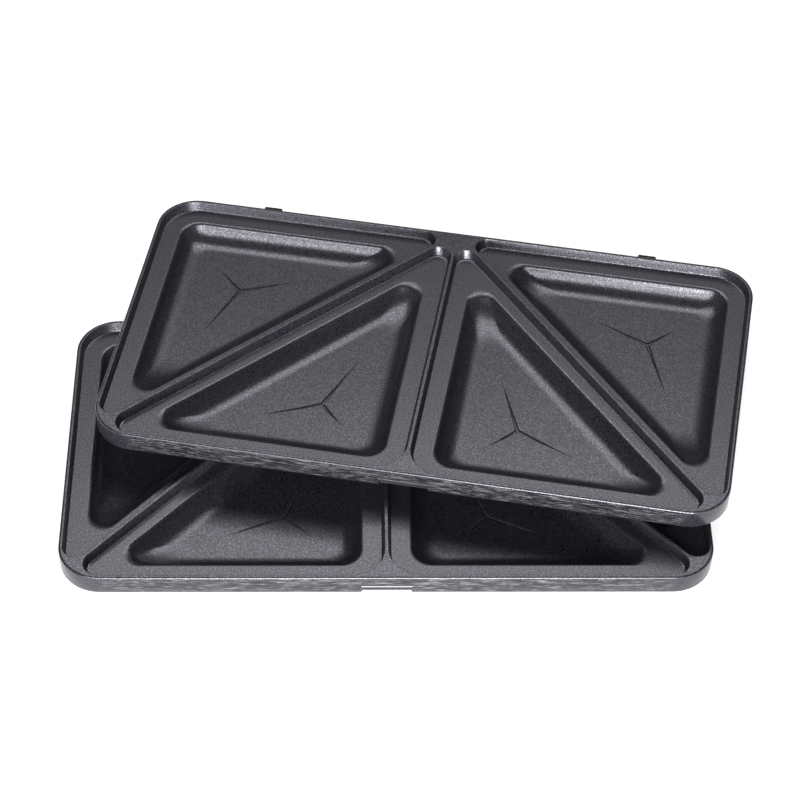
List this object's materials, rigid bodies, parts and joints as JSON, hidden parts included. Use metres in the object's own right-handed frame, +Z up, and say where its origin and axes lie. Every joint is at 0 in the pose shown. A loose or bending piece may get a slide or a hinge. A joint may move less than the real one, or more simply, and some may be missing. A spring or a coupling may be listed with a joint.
{
  "type": "removable sandwich toaster plate pair",
  "caption": "Removable non-stick plates for a sandwich toaster, lying across each other, with triangular pockets that press and seal filled bread.",
  "frame": {"origin": "middle of the pair's outline seen from above, on the surface that the lower plate's pockets stand on", "axes": "+X right along the lower plate's long side, +Y towards the edge with the lugs, +Z up out of the pockets"},
  "size_m": [0.2764, 0.1958, 0.0263],
  "materials": {
    "nonstick_lower": "satin anthracite non-stick coating on die-cast aluminium",
    "nonstick_upper": "satin anthracite non-stick coating on die-cast aluminium"
  },
  "bodies": {
    "lower_plate": {"lower_plate": "nonstick_lower"},
    "upper_plate": {"upper_plate": "nonstick_upper"}
  },
  "joints": [
    {"name": "upper_plate_lift", "type": "slide", "parent": "lower_plate", "child": "upper_plate", "axis": [0, 0, 1], "range_m": [0, 0.12]}
  ]
}
